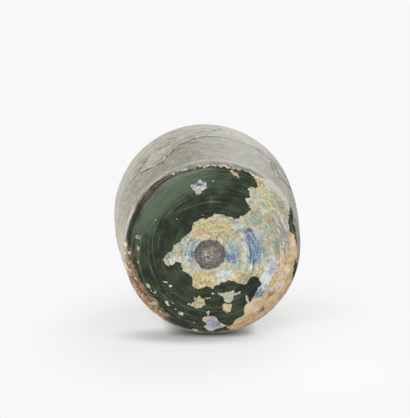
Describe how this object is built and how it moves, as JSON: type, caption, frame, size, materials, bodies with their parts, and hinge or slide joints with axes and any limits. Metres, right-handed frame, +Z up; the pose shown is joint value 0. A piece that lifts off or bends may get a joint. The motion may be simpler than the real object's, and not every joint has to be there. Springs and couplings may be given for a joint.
{
  "type": "glass bottle",
  "caption": "Squat free-blown bottle of nearly black green glass with a shallow push-up, pontil scar, tapering neck and string rim, under a flaking iridescent crust.",
  "frame": {"origin": "centre of the bottle's underside, in the plane of the ring that it stands on", "axes": "+Z up along the bottle's axis, from the base to the mouth; -Y is the side of the body that the picture shows at its top, +X the side that it shows on the right"},
  "size_m": [0.0974, 0.0974, 0.188],
  "materials": {
    "weathered_glass": "dark green glass under a dull grey weathering skin, with a satin iridescent crust"
  },
  "bodies": {
    "root": {"bottle": "weathered_glass"}
  },
  "joints": []
}
